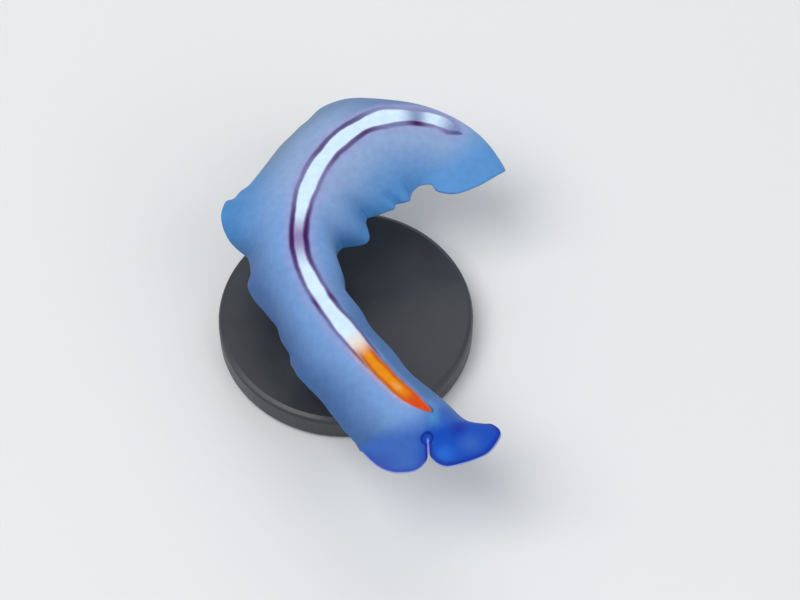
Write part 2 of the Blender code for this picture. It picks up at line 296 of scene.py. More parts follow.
def level_curve(stations, values, at):
    """Read a curve through `values` that never swings past them, at each place in `at`.

    It is a cubic between two stations. Its slope at a station is a weighted harmonic mean of the
    rises on both sides, or 0 where the values turn.
    """
    step = np.diff(stations)
    rise = np.diff(values) / step
    slope = np.zeros_like(values)
    slope[0], slope[-1] = rise[0], rise[-1]
    same_way = rise[1:] * rise[:-1] > 0
    weight_before = 2 * step[1:] + step[:-1]
    weight_after = step[1:] + 2 * step[:-1]
    before = np.where(same_way, rise[:-1], 1)
    after = np.where(same_way, rise[1:], 1)
    mean = (weight_before + weight_after) / (weight_before / before + weight_after / after)
    slope[1:-1] = np.where(same_way, mean, 0)
    at = np.clip(at, stations[0], stations[-1])
    i = np.clip(np.searchsorted(stations, at, side="right") - 1, 0, len(stations) - 2)
    u = (at - stations[i]) / step[i]
    return (values[i] * (1 + 2 * u) * (1 - u) ** 2 + step[i] * slope[i] * u * (1 - u) ** 2
            + values[i + 1] * u ** 2 * (3 - 2 * u) + step[i] * slope[i + 1] * u ** 2 * (u - 1))


MIDLINE_PLACES = np.concatenate(
    [[0.0], np.cumsum(np.linalg.norm(np.diff(MIDLINE, axis=0), axis=1))])
BODY_LENGTH = MIDLINE_PLACES[-1]


def midline(along):
    """Return the points of the midline at each place along it, in mm."""
    return smooth_curve(MIDLINE_PLACES, MIDLINE, along)


def flank(along, across, column):
    """Read one column of the flank tables: the right one where `across` is negative."""
    return np.where(across < 0,
                    level_curve(RIGHT_FLANK[:, 0], RIGHT_FLANK[:, column], along),
                    level_curve(LEFT_FLANK[:, 0], LEFT_FLANK[:, column], along))


def soft_flank(along, across, column):
    """Average one column of the flank tables over a short length of the body."""
    return np.mean([flank(along + shift, across, column) for shift in SOFT_SHIFTS], axis=0)


def body_axes(along):
    """Return the leftward and upward directions of the body at each place along it.

    A chord of the midline points forward, left is level and square to it, and up is square to
    both.
    """
    forward = midline(along - CHORD / 2) - midline(along + CHORD / 2)
    forward /= np.linalg.norm(forward, axis=-1, keepdims=True)
    left = np.cross((0.0, 0.0, 1.0), forward)
    left /= np.linalg.norm(left, axis=-1, keepdims=True)
    return left, np.cross(forward, left)


def sheet(along, across):
    """Place points on the middle of the body's thickness.

    The flank's angle is its droop, which sets in quickly beside the midline, plus its curl,
    which grows with the square of `across`. Walking out from the midline at that angle gives
    the distance to the side and the drop. The droop is that of the tables at the margin and
    softens inward to its average over a short length, so folds fade towards the stripe.
    """
    along, across = np.broadcast_arrays(along, across)
    share = np.abs(across)
    steps = share[..., None] * (np.arange(ARC_STEPS) + 0.5) / ARC_STEPS
    droop = np.radians(flank(along, across, DROOP))[..., None]
    soft_droop = np.radians(soft_flank(along, across, DROOP))[..., None]
    droop = soft_droop + (droop - soft_droop) * steps ** 2
    curl = np.radians(flank(along, across, CURL))[..., None]
    angle = droop * np.tanh(ARCH * steps) / np.tanh(ARCH) + curl * steps ** 2
    half_width = flank(along, across, HALF_WIDTH)
    aside = across * half_width * np.cos(angle).mean(-1)
    drop = share * half_width * np.sin(angle).mean(-1)
    left, up = body_axes(along)
    return midline(along) + aside[..., None] * left - drop[..., None] * up


def lobe_edge(reach, lobe):
    """Return a lobe's front margin: a parabola that falls back faster outside its corner."""
    front, sweep, corner, fall = lobe
    return front + sweep * reach ** 2 + fall * np.maximum(reach - corner, 0) ** 2


def fall_back(nearness, depth, power=2):
    """Return how far a round edge falls back: a quarter of an oval, full at a nearness of 1."""
    return depth * (1 - np.sqrt(1 - nearness ** power))


def slit_corner(across):
    """Return how far the front margin falls back beside the slit."""
    nearness = np.clip(1 - np.abs(across) * HEAD_HALF_WIDTH / HEAD_CORNER, 0, 1)
    return fall_back(nearness, HEAD_CORNER)


def outer_corner(across, corner):
    """Return how far an edge falls back beside the margin where `across` is 1."""
    width, depth = corner
    return fall_back(np.clip(1 - (1 - across) / width, 0, 1), depth)


def lobes_edge(across):
    """Return where the front margin would lie with no slit: a curve for each lobe."""
    reach = np.abs(across) * HEAD_HALF_WIDTH
    edge = np.where(across < 0, lobe_edge(reach, RIGHT_LOBE), lobe_edge(reach, LEFT_LOBE))
    return edge + outer_corner(-across, HEAD_OUTER_CORNER)


def tail_edge(across):
    """Return where the body ends, on a round tail that is fuller on the left."""
    depth = TAIL_ROUND - TAIL_FULLNESS * (across > 0)
    back = fall_back(np.abs(across), depth, TAIL_POWER)
    return BODY_LENGTH - back - outer_corner(across, TAIL_OUTER_CORNER)


def slope_down_body(along, across):
    """Return how far the sheet runs, in mm, for each mm of the place along the midline."""
    return (sheet(along + SMALL, across) - sheet(along - SMALL, across)) / (2 * SMALL)


def facing(along, across):
    """Return the sheet's upward unit normal: the two slopes of the sheet, crossed."""
    down_body = slope_down_body(along, across)
    to_left = sheet(along, across + SMALL) - sheet(along, across - SMALL)
    normal = np.cross(to_left, down_body)
    return normal / np.linalg.norm(normal, axis=-1, keepdims=True)


def margin_waves(along, across, depth):
    """Return the small frills of the margins: a wave of uneven length that dies out inward.

    The wave is the sine of the place along the body, with a slower sine added to its rhythm and
    another to its height. It dies out with a high power of `across`. It dies out at the head
    too, and where the flank is gathered inside a bend.
    """
    turn = 2 * np.pi * along
    swing = np.sin(turn / FRILL_LENGTH + FRILL_WANDER * np.sin(turn / WANDER_LENGTH) + across)
    strength = FRILL_MEAN + FRILL_SWELL * np.sin(turn / SWELL_LENGTH + 2 * across)
    spread = np.clip(np.linalg.norm(slope_down_body(along, across), axis=-1), 0, 1)
    calm = np.clip((along - FRILL_START) / (FRILL_FULL - FRILL_START), 0, 1) * spread ** 2
    return depth * swing * strength * calm * np.abs(across) ** FRILL_POWER


def nearest(points, ring):
    """Return each point's distance to the closest point of the ring, worked out in blocks.

    The square of a distance is the sum of both points' squares less twice their product.
    """
    found = []
    for block in np.array_split(points, SEARCH_BLOCKS):
        square = ((block ** 2).sum(-1)[:, None] + (ring ** 2).sum(-1)[None]
                  - 2 * block @ ring.T)
        found.append(np.sqrt(np.maximum(square.min(1), 0)))
    return np.concatenate(found)


def srgb(red, green, blue):
    """Turn a colour of 0 to 255 as seen on a screen into linear light, by the sRGB curve."""
    value = np.array([red, green, blue]) / 255
    linear = np.where(value <= 0.04045, value / 12.92, ((value + 0.055) / 1.055) ** 2.4)
    return tuple(float(x) for x in linear)


def size(name, description, default):
    """Make a length setting, with its default given in mm."""
    return FloatProperty(name=name, description=description, default=default * MM,
                         min=0.0, precision=5, unit="LENGTH")


def colour(name, description, *value):
    """Make a colour setting, with its default given as 0 to 255 as seen on a screen."""
    return FloatVectorProperty(name=name, description=description, default=srgb(*value),
                               size=3, min=0.0, max=1.0, subtype="COLOR")


class FlatwormSkinSettings(bpy.types.PropertyGroup):
    """Sizes and colours of the animal."""

    middle_thickness: size("Middle thickness", "Thickness of the body under the stripe", 1.4)
    margin_thickness: size("Margin thickness", "Thickness of the body near its margins", 0.32)
    taper: size("Taper", "Distance from a margin over which the body thickens", 6.0)
    wave_depth: size("Frill depth", "Height of the small frills at the margins", 0.10)
    back: colour("Back", "Pale blue beside the front of the stripe", 119, 158, 210)
    steel: colour("Steel blue", "Left of the front of the stripe", 76, 114, 162)
    rear: colour("Rear", "Lavender blue beside the rear of the stripe", 142, 166, 204)
    # The fore edges' steel blue is also laid on the right rear flank as painted shade.
    valley: colour("Fore edge", "Steel blue of the fore flanks' edges", 68, 103, 153)
    lobe: colour("Lobes", "Bright blue of the ruffled lobes", 76, 134, 190)
    slate: colour("Slate", "Grey blue of the right rear flank's edge", 104, 134, 164)
    tail: colour("Tail", "Clear blue of the tail", 88, 145, 202)
    head: colour("Head", "Blue of the right lobe of the head", 56, 100, 178)
    # Tentacle blue also fills the pit's well as painted shade.
    tentacle: colour("Tentacle", "Royal blue of the left lobe of the head", 4, 72, 178)
    # Royal blue is also the painted shade of the pit's ring and of a crease on the left lobe.
    royal: colour("Royal blue", "Deep blue round the pit and inside the margin", 8, 38, 148)
    iris: colour("Iris", "Purple blue inside the margin of the right lobe", 58, 72, 170)
    # The pale line is painted light: light through the thin margin, and highlights along the seam.
    rim: colour("Rim", "Pale line on the head's margin and its seam", 158, 174, 224)
    lavender: colour("Lavender", "Haze beside the stripe", 152, 152, 200)
    stripe: colour("Stripe", "White of the stripe", 208, 231, 247)
    pinch: colour("Pinched stripe", "Lilac where the stripe is narrow", 140, 128, 174)
    haze: colour("Haze", "Dull blue where the stripe fades near the tail", 126, 144, 182)
    cream: colour("Cream", "Where the white turns to orange", 224, 216, 208)
    orange: colour("Orange", "Front of the stripe", 226, 139, 2)
    amber: colour("Amber", "Edges of the orange", 186, 88, 3)
    ember: colour("Ember", "Tip of the orange", 208, 74, 1)
    plum: colour("Plum", "Borders of the stripe", 62, 18, 84)
    magenta: colour("Magenta", "Inner edge of the borders", 140, 84, 150)
    maroon: colour("Maroon", "Borders of the orange", 78, 20, 22)
    peach: colour("Peach", "Glow right of the orange and pale spot on it", 232, 164, 118)
    bright: colour("Bright blue", "Light on the left lobe of the head", 34, 108, 208)
    belly: colour("Belly", "Pale underside", 160, 176, 204)


class FlatwormStandSettings(bpy.types.PropertyGroup):
    """Sizes and colours of the stand."""

    collar_radius: size("Collar radius", "Outer radius of the collar round each rod", 1.35)
    collar_height: size("Collar height", "Height of the collar above the base", 0.55)
    paint: colour("Paint", "Satin paint of the base", 52, 54, 58)
    steel: colour("Steel", "Brushed steel of the rods", 190, 190, 192)


class FlatwormStageSettings(bpy.types.PropertyGroup):
    """The floor, lights and camera."""

    floor: colour("Floor", "Plain pale floor", 226, 226, 224)
    floor_size: FloatProperty(name="Floor size", description="Width of the floor",
                              default=3.0, min=0.1, unit="LENGTH")
    distance: FloatProperty(name="Camera distance", description="From the lens to the animal",
                            default=0.2, min=0.05, unit="LENGTH")
    lens: FloatProperty(name="Lens", description="Focal length of the camera in millimetres",
                        default=100.0, min=10.0, unit="CAMERA")


# The colour changes of the skin. Two numbers are where a change begins and where it is full, and
# three are where a patch begins, is strongest and ends. They are in mm along the body, or in shares
# of the half-width where the name says so, counted outward for EDGE and BELLY and to the left for
# the rest. Strengths are shares.
MIDDLE_SHARES = (-0.1, 0.1)
RUFFLED_EDGE, SLATE_EDGE, TAIL_EDGE = (26.0, 29.0), (32.0, 36.0), (46.0, 49.0)
REAR_BACK, TAIL_SKIN = (26.0, 34.0), (49.0, 54.0)
EDGE_SHARES = (0.15, 0.95)
STEEL_SHARES, STEEL_BEGINS, STEEL_ENDS = (0.0, 0.14), (4.4, 6.2), (26.0, 14.0)
# Painted shade on the right of the rear, where the flank turns away from the light: shares, places
# and strength.
FAR_SHADE_SHARES, FAR_SHADE_PATCH, FAR_SHADE_STRENGTH = (-0.06, -0.18), (38.0, 44.0, 52.0), 0.7
BELLY_SHARES, BELLY_HEAD = (0.3, 1.0), (8.0, 3.0)

# The head's blue begins at one place and is full at another, for the right lobe and for the left.
HEAD_BEGINS, HEAD_FULL = 6.1, (2.5, 4.2)
TENTACLE_SHARES, TENTACLE_TIP = (0.1, 0.3), (4.2, 2.6)
# The margin's pale line, painted light where the thin margin lets light through, and the dusky band
# inside it: where they begin and are full on the right lobe and on the left, and their widths in mm
# from the margin.
RIM_BEGINS, RIM_FULL = (3.4, 5.0), (1.4, 3.4)
RIM_LIGHT_LINE, DUSK_BAND, DUSK_STRENGTH = (0.08, 0.02), (0.04, 0.16, 0.6), 0.75
# The deeper blue beside the seam: mm from the midline, place and strength.
SEAM_SIDES, SEAM_SIDES_PLACE, SEAM_SIDES_STRENGTH = (1.4, 0.3), (3.6, 2.6), 0.6
# The seam itself: its place, its dark edges and its pale line in mm from the midline. The pale
# line is painted highlight on the lobes' rims, with the pale ground seen through the slit.
SEAM_PLACE, SEAM_EDGES, SEAM_HIGHLIGHT_LINE = (2.7, 2.3), (0.05, 0.16, 0.42), (0.12, 0.04)
SEAM_EDGES_STRENGTH, SEAM_HIGHLIGHT_STRENGTH = 0.9, 0.8
# The pit: its dark ring and its well, painted shade in its hollow, in mm outward from its rim.
PIT_SHADE_RING, PIT_SHADE_RING_STRENGTH, PIT_SHADE_WELL = (-0.16, -0.01, 0.16), 0.9, (0.0, -0.14)
# How far round the margin, from back to belly, the paint of the seam ends.
BACK_ONLY = (0.5, 0.1)

# The haze, the glow and the soft edges of the stripe, in mm inward from the edge of its border
# (HALO, GLOW and LINE_EDGE) or of its pale band (the rest).
HALO, HALO_BEGINS, HALO_STRENGTH = (-0.8, -0.1), (4.6, 7.5), 0.5
GLOW, GLOW_BEGINS, GLOW_STRENGTH = (-0.32, 0.0), (4.8, 7.0), 0.42
GLOW_SHARES = (0.0, -0.02)
LINE_EDGE = (-0.12, 0.17)
FRINGE, FRINGE_BEGINS, FRINGE_STRENGTH = (-0.15, -0.03, 0.08), (13.0, 15.0), 0.5
BAND_EDGE, AMBER_EDGE = (-0.10, 0.10), (0.4, 0.06)
# Where the stripe changes along the body.
MAROON_LINE, FAINT_LINE, FAINT_STRENGTH = (14.5, 12.5), (48.4, 50.0), 0.6
CREAM_FRONT, ORANGE_FRONT, EMBER_TIP = (15.2, 13.8), (13.9, 11.9), (8.0, 6.0)
# What is laid over the white of the band: pigment, places and strength.
BAND_CHANGES = (
    ("pinch", (22.5, 26.4, 29.3), 1.0),
    ("haze", (44.0, 45.9, 47.4), 0.95),
    ("cream", CREAM_FRONT, 1.0),
    ("haze", (47.6, 49.8), 1.0),
)
# A pale spot on the orange: place along and to the left, radii both ways, strength.
PALE_SPOT, PALE_RADII, PALE_STRENGTH = (8.1, -0.2), (0.7, 0.3), 0.6

# Noise runs mostly between these values.
NOISE_LOW, NOISE_HIGH = 0.3, 0.7
# The cloudiness of the skin: the noise's scale per metre and how far it shifts the colours.
CLOUD_SCALE, CLOUD_SHIFT = 260.0, 0.25
# The uneven edges of the stripe: the noise's scale per metre and how far they wander in mm.
WANDER_SCALE, WANDER_SHIFT = 700.0, 0.16

# Spots on the head: place along and to the left, then the radii both ways in mm, the strength
# and the pigment. The first is painted shade in the crease where the left lobe bends up.
HEAD_SPOTS_AND_SHADE = (
    # Painted shade: the dark crease at the root of the left lobe, where it bends up.
    ((2.7, 2.7), (0.9, 1.5), 0.75, "royal"),
    ((1.5, 3.7), (1.1, 1.8), 0.7, "head"),
    ((0.9, 1.4), (1.2, 1.5), 0.7, "bright"),
    ((0.6, -4.2), (1.8, 2.2), 0.35, "royal"),
)


class Shading:
    """One node material: each method adds a node, links its inputs and returns its output."""

    def __init__(self, name):
        self.material = bpy.data.materials.new(name)
        self.material.use_nodes = True
        self.nodes = self.material.node_tree.nodes
        self.links = self.material.node_tree.links
        self.surface = self.nodes["Principled BSDF"]

    def put(self, socket, value):
        """Link another node's output to the socket, or set the socket to a value."""
        if isinstance(value, bpy.types.NodeSocket):
            self.links.new(value, socket)
        elif isinstance(value, tuple):
            socket.default_value = (*value, 1.0)[:len(socket.default_value)]
        else:
            socket.default_value = value

    def add(self, kind, inputs=(), output=0, **settings):
        """Add a node with its settings and inputs, and return one of its outputs."""
        node = self.nodes.new(kind)
        for name, value in settings.items():
            setattr(node, name, value)
        for key, value in dict(inputs).items():
            self.put(node.inputs[key], value)
        return node.outputs[output]

    def attribute(self, name):
        """Read one of the mesh's own values."""
        return self.add("ShaderNodeAttribute", output="Fac", attribute_name=name)

    def math(self, operation, first, second=0.0):
        """Work out one sum, or one function of a single value."""
        return self.add("ShaderNodeMath", {0: first, 1: second}, operation=operation)

    def product(self, first, *others):
        """Multiply values together."""
        for other in others:
            first = self.math("MULTIPLY", first, other)
        return first

    def step(self, value, low, high, start=0.0, end=1.0):
        """Rise smoothly from `start` to `end` as the value goes from `low` to `high`."""
        inputs = {"Value": value, "From Min": low, "From Max": high, "To Min": start,
                  "To Max": end}
        return self.add("ShaderNodeMapRange", inputs, interpolation_type="SMOOTHSTEP")

    def hump(self, value, low, top, high):
        """Rise from 0 at `low` to 1 at `top` and fall back to 0 at `high`."""
        return self.product(self.step(value, low, top), self.step(value, top, high, 1.0, 0.0))

    def mix(self, share, first, second):
        """Blend two colours: the first where the share is 0, the second where it is 1."""
        return self.add("ShaderNodeMix", {0: share, 6: first, 7: second}, output=2,
                        data_type="RGBA")

    def ramp(self, value, ends):
        """Rise between two values, or rise and fall again between three."""
        return self.hump(value, *ends) if len(ends) == 3 else self.step(value, *ends)

    def spot(self, first, second, middle, radii):
        """Rise from 0 on the rim of an oval to 1 at its middle."""
        squares = []
        for value, centre, radius in zip((first, second), middle, radii):
            away = self.math("DIVIDE", self.math("SUBTRACT", value, centre), radius)
            squares.append(self.product(away, away))
        return self.step(self.math("SQRT", self.math("ADD", *squares)), 1.0, 0.0)

    def noise(self, place, scale, detail=3.0):
        """Return a cloudy value with so many waves per metre, mostly near a half."""
        inputs = {"Vector": place, "Scale": scale, "Detail": detail}
        return self.add("ShaderNodeTexNoise", inputs)

    def spread(self, noise, low, high):
        """Stretch a noise so that it runs between two values."""
        return self.step(noise, NOISE_LOW, NOISE_HIGH, low, high)

    def shade(self, tint, noise, low, high):
        """Make a colour darker and lighter with the noise, between two shares of itself."""
        inputs = {"Color": tint, "Value": self.spread(noise, low, high)}
        return self.add("ShaderNodeHueSaturation", inputs)

    def relief(self, noise, strength, height):
        """Let the noise stand out by a height in mm, in the shading alone."""
        inputs = {"Strength": strength, "Distance": height * MM, "Height": noise}
        return self.add("ShaderNodeBump", inputs)

    def finish(self, **sockets):
        """Set or link the surface's own inputs, and return the material."""
        for name, value in sockets.items():
            self.put(self.surface.inputs[name.replace("_", " ")], value)
        return self.material


class SkinPaint(Shading):
    """The animal's paint, worked out from a point's place on the body.

    The skin's own values give that place: `along` and `share` as in the notes at the top, `reach`
    in mm to the left of the midline, `rim` in mm from the margin, `pit` in mm outward from the
    pit's rim, and `white` and `border` in mm inward from the edges of the stripe's pale band and
    of its border. `under` is 0 on the back and 1 on the belly, and `dark` is the strength of the
    stripe's borders.
    """

    def __init__(self, colours):
        super().__init__("flatworm_skin")
        self.colours = colours
        self.along, self.reach, self.share, self.rim, self.pit, self.under, self.dark = (
            self.attribute(name)
            for name in ("along", "reach", "share", "rim", "pit", "under", "dark"))
        self.place = self.add("ShaderNodeTexCoord", output="Object")
        self.out = self.math("ABSOLUTE", self.share)
        self.aside = self.math("ABSOLUTE", self.reach)
        wander = self.shift(WANDER_SCALE, WANDER_SHIFT)
        self.white = self.math("ADD", self.attribute("white"), wander)
        self.border = self.math("ADD", self.attribute("border"), wander)
        self.left = self.ramp(self.share, MIDDLE_SHARES)
        self.left_front = self.product(
            self.ramp(self.share, STEEL_SHARES), self.at(STEEL_BEGINS), self.at(STEEL_ENDS))

    def shift(self, scale, amount):
        """Return a cloudy value about 0, with its swing worked out from the amount."""
        noise = self.noise(self.place, scale, 2.0)
        return self.product(self.math("SUBTRACT", noise, 0.5), amount)

    def tint(self, pigment):
        """Return the colour that the settings give a pigment."""
        return tuple(getattr(self.colours, pigment))

    def at(self, places):
        """Rise between two places along the body, or rise and fall again between three."""
        return self.ramp(self.along, places)

    def over(self, below, pigment, *masks):
        """Lay a pigment over a colour, as strongly as the masks multiplied together."""
        return self.mix(self.product(*masks), below, self.tint(pigment))

    def flank_edge(self):
        """Colour the margins: steel blue in front, ruffles, then slate or the tail's blue."""
        edge = self.over(self.tint("valley"), "lobe", self.at(RUFFLED_EDGE))
        right = self.over(edge, "slate", self.at(SLATE_EDGE))
        left = self.over(edge, "tail", self.at(TAIL_EDGE))
        return self.mix(self.left, right, left)

    def mantle(self, edge):
        """Colour the back: pale by the stripe, bluer outward, steel blue at the left in front, and
        darker at the right rear with painted shade.
        """
        back = self.over(self.tint("back"), "rear", self.at(REAR_BACK))
        outward = self.math("ADD", self.out, self.shift(CLOUD_SCALE, CLOUD_SHIFT))
        skin = self.mix(self.ramp(outward, EDGE_SHARES), back, edge)
        skin = self.over(skin, "steel", self.left_front)
        # Painted shade: the right rear flank, which turns away from the light, darkened towards the
        # fore edges' steel blue.
        skin = self.over(skin, "valley", self.ramp(self.share, FAR_SHADE_SHARES),
                         self.at(FAR_SHADE_PATCH), FAR_SHADE_STRENGTH)
        return self.over(skin, "tail", self.at(TAIL_SKIN))

    def lobes(self):
        """Colour the head's two lobes, deeper beside the seam, and lay the spots and a painted
        crease shadow on them.
        """
        left = self.over(self.tint("lobe"), "head", self.ramp(self.share, TENTACLE_SHARES))
        left = self.over(left, "tentacle", self.at(TENTACLE_TIP))
        lobes = self.mix(self.left, self.tint("head"), left)
        lobes = self.over(lobes, "tentacle", self.ramp(self.aside, SEAM_SIDES),
                          self.at(SEAM_SIDES_PLACE), SEAM_SIDES_STRENGTH)
        for middle, radii, strength, pigment in HEAD_SPOTS_AND_SHADE:
            spot = self.spot(self.along, self.reach, middle, radii)
            lobes = self.over(lobes, pigment, spot, strength)
        return lobes

    def head(self, skin):
        """Lay the lobes over the skin, with a dusky band and a pale line of painted light at their
        margin.
        """
        full = self.step(self.share, *MIDDLE_SHARES, *HEAD_FULL)
        skin = self.mix(self.step(self.along, HEAD_BEGINS, full), skin, self.lobes())
        begins = self.step(self.left, 0.0, 1.0, *RIM_BEGINS)
        full = self.step(self.left, 0.0, 1.0, *RIM_FULL)
        in_front = self.step(self.along, begins, full)
        dusk = self.mix(self.left, self.tint("iris"), self.tint("royal"))
        inside_rim = self.product(self.ramp(self.rim, DUSK_BAND), in_front, DUSK_STRENGTH)
        skin = self.mix(inside_rim, skin, dusk)
        # Painted light: the pale line where light shines through the thin margin.
        return self.over(skin, "rim", self.ramp(self.rim, RIM_LIGHT_LINE), in_front)

    def borders(self, skin):
        """Lay the stripe's haze, glow, dark borders and magenta fringe over the skin."""
        not_steel = self.math("SUBTRACT", 1.0, self.left_front)
        skin = self.over(skin, "lavender", self.ramp(self.border, HALO),
                         self.at(HALO_BEGINS), not_steel, HALO_STRENGTH)
        at_orange = self.at(MAROON_LINE)
        skin = self.over(skin, "peach", self.ramp(self.border, GLOW), at_orange,
                         self.at(GLOW_BEGINS), self.ramp(self.share, GLOW_SHARES),
                         GLOW_STRENGTH)
        line = self.over(self.tint("plum"), "maroon", at_orange)
        line = self.over(line, "valley", self.at(FAINT_LINE), FAINT_STRENGTH)
        depth = self.math("MINIMUM", self.border, self.product(self.white, -1.0))
        skin = self.mix(self.product(self.ramp(depth, LINE_EDGE), self.dark), skin, line)
        return self.over(skin, "magenta", self.ramp(self.white, FRINGE),
                         self.at(FRINGE_BEGINS), FRINGE_STRENGTH)

    def band(self, skin):
        """Lay the pale band over the skin: white with two dull places, orange in front."""
        white = self.tint("stripe")
        for pigment, places, strength in BAND_CHANGES:
            white = self.over(white, pigment, self.at(places), strength)
        orange = self.over(self.tint("orange"), "amber", self.ramp(self.white, AMBER_EDGE))
        orange = self.over(orange, "ember", self.at(EMBER_TIP))
        spot = self.spot(self.along, self.reach, PALE_SPOT, PALE_RADII)
        orange = self.over(orange, "peach", spot, PALE_STRENGTH)
        band = self.mix(self.at(ORANGE_FRONT), white, orange)
        return self.mix(self.ramp(self.white, BAND_EDGE), skin, band)

    def belly(self, edge):
        """Colour the underside: pale, with the margins' colour outward and a blue head."""
        belly = self.mix(self.ramp(self.out, BELLY_SHARES), self.tint("belly"), edge)
        return self.over(belly, "head", self.at(BELLY_HEAD))

    def seam(self, skin):
        """Lay the pit and the seam over the head: dark edges, a ring and a well of painted shade in
        the pit, and a pale line of painted highlight.
        """
        on_back = self.ramp(self.under, BACK_ONLY)
        seam = self.product(self.at(SEAM_PLACE), on_back)
        edges = self.ramp(self.aside, SEAM_EDGES)
        skin = self.over(skin, "royal", edges, seam, SEAM_EDGES_STRENGTH)
        # Painted shade: a dark ring round the pit's edge and a deep blue well inside it.
        ring = self.ramp(self.pit, PIT_SHADE_RING)
        skin = self.over(skin, "royal", ring, on_back, PIT_SHADE_RING_STRENGTH)
        skin = self.over(skin, "tentacle", self.ramp(self.pit, PIT_SHADE_WELL), on_back)
        # Painted highlight on the lobes' rims along the seam, with the pale ground seen through the
        # slit.
        line = self.ramp(self.aside, SEAM_HIGHLIGHT_LINE)
        return self.over(skin, "rim", line, seam, SEAM_HIGHLIGHT_STRENGTH)


def skin_material(colours):
    """Lay the animal's paint on in turn, and give it a fine mottle, a soft wet gloss and grain."""
    s = SkinPaint(colours)
    edge = s.flank_edge()
    back = s.band(s.borders(s.head(s.mantle(edge))))
    skin = s.seam(s.mix(s.under, back, s.belly(edge)))
    mottle = s.noise(s.place, scale=1500.0, detail=4.0)
    grain = s.noise(s.place, scale=6000.0)
    return s.finish(Base_Color=s.shade(skin, mottle, low=0.95, high=1.04),
                    Roughness=s.spread(mottle, low=0.46, high=0.6),
                    Normal=s.relief(grain, strength=0.3, height=0.06),
                    IOR=1.38, Specular_IOR_Level=0.22, Subsurface_Weight=0.15,
                    Subsurface_Radius=(0.8, 1.0, 1.4), Subsurface_Scale=0.4 * MM)


def paint_material(colours):
    """Satin paint with a fine orange-peel texture."""
    s = Shading("stand_paint")
    place = s.add("ShaderNodeTexCoord", output="Object")
    peel = s.noise(place, scale=2500.0, detail=2.0)
    cloud = s.noise(place, scale=180.0)
    return s.finish(Base_Color=s.shade(tuple(colours.paint), cloud, low=0.9, high=1.1),
                    Roughness=s.spread(cloud, low=0.36, high=0.46),
                    Normal=s.relief(peel, strength=0.25, height=0.05))


def steel_material(colours):
    """Drawn steel with fine lines along the rods."""
    s = Shading("rod_steel")
    place = s.add("ShaderNodeTexCoord", output="Object")
    stretched = s.add("ShaderNodeMapping", {"Vector": place, "Scale": (1.0, 1.0, 0.03)})
    lines = s.noise(stretched, scale=9000.0, detail=2.0)
    return s.finish(Base_Color=tuple(colours.steel), Metallic=1.0,
                    Roughness=s.spread(lines, low=0.24, high=0.38),
                    Normal=s.relief(lines, strength=0.2, height=0.02))


def floor_material(settings):
    """Pale matt card with a cloudiness that barely shows."""
    s = Shading("floor")
    place = s.add("ShaderNodeTexCoord", output="Object")
    cloud = s.noise(place, scale=3.0)
    return s.finish(Base_Color=s.shade(tuple(settings.floor), cloud, low=0.99, high=1.01),
                    Roughness=0.7)


def to_mesh(name, points, faces, material):
    """Make a smooth mesh object from points in mm and faces that name them."""
    data = bpy.data.meshes.new(name)
    data.from_pydata((points * MM).tolist(), [], faces.tolist())
    data.validate()
    data.polygons.foreach_set("use_smooth", np.ones(len(data.polygons), bool))
    data.materials.append(material)
    data.update()
    thing = bpy.data.objects.new(name, data)
    bpy.context.scene.collection.objects.link(thing)
    return thing


def skin_places():
    """Return `along` and `across` on a grid of rows and columns.

    Rows run from the front margin to the tail and columns from the right margin to the left.
    A row lies at its share of the way from the front margin to the tail's end.
    Both lie close together beside the margins, and columns do so beside the midline, where the
    lobes of the head meet. The rows follow the slit's corner at the front, and it fades from
    them with the square of the distance.
    """
    near, far = ROW_INSET, BODY_LENGTH - ROW_INSET
    rows = np.concatenate([MARGIN_ROWS, np.linspace(near, far, ROWS),
                           BODY_LENGTH - MARGIN_ROWS[::-1]]) / BODY_LENGTH
    near, far = ROW_INSET, HEAD_HALF_WIDTH - ROW_INSET
    half = np.concatenate([MIDDLE_COLUMNS, np.linspace(near, far, HALF_COLUMNS),
                           HEAD_HALF_WIDTH - MARGIN_ROWS[::-1]]) / HEAD_HALF_WIDTH
    columns = np.concatenate([-half[::-1], half[1:]])
    share, across = np.meshgrid(rows, columns, indexing="ij")
    fade = np.clip(1 - share * BODY_LENGTH / CORNER_FADE, 0, 1) ** 2
    along = lobes_edge(across) * (1 - share) + tail_edge(across) * share
    return along + slit_corner(across) * fade, across


def skin_faces(rows, columns):
    """Return the points kept and the quads of the back and the belly, which share the margins.

    The belly's quads are turned round, so that all faces point outwards.
    """
    ids = np.arange(2 * rows * columns).reshape(2, rows, columns)
    back, belly = ids
    belly[0], belly[-1] = back[0], back[-1]
    belly[:, 0], belly[:, -1] = back[:, 0], back[:, -1]
    quads = np.stack([ids[:, :-1, :-1], ids[:, 1:, :-1], ids[:, 1:, 1:], ids[:, :-1, 1:]], -1)
    quads[1] = quads[1][..., ::-1]
    kept, faces = np.unique(quads.reshape(-1, 4), return_inverse=True)
    return kept, faces.reshape(-1, 4)


def body_thickness(to_margin, settings):
    """Return the thickness in mm: half a circle at the edge, then a parabola to the middle."""
    edge = settings.margin_thickness / MM
    middle = settings.middle_thickness / MM
    round_part = np.clip(to_margin / (edge / 2), 0, 1)
    rise = np.clip(to_margin / (settings.taper / MM), 0, 1)
    return (edge * np.sqrt(1 - (1 - round_part) ** 2)
            + (middle - edge) * (1 - (1 - rise) ** 2))


def bell(distance, middle, width):
    """Return a bell curve: 1 at the middle, and near 0 two widths away."""
    return np.exp(-((distance - middle) / width) ** 2)


def soft_inside(distance, softness):
    """Return 1 inside an edge and 0 outside it, with a smooth change across the edge."""
    return 0.5 - 0.5 * np.tanh(distance / softness)


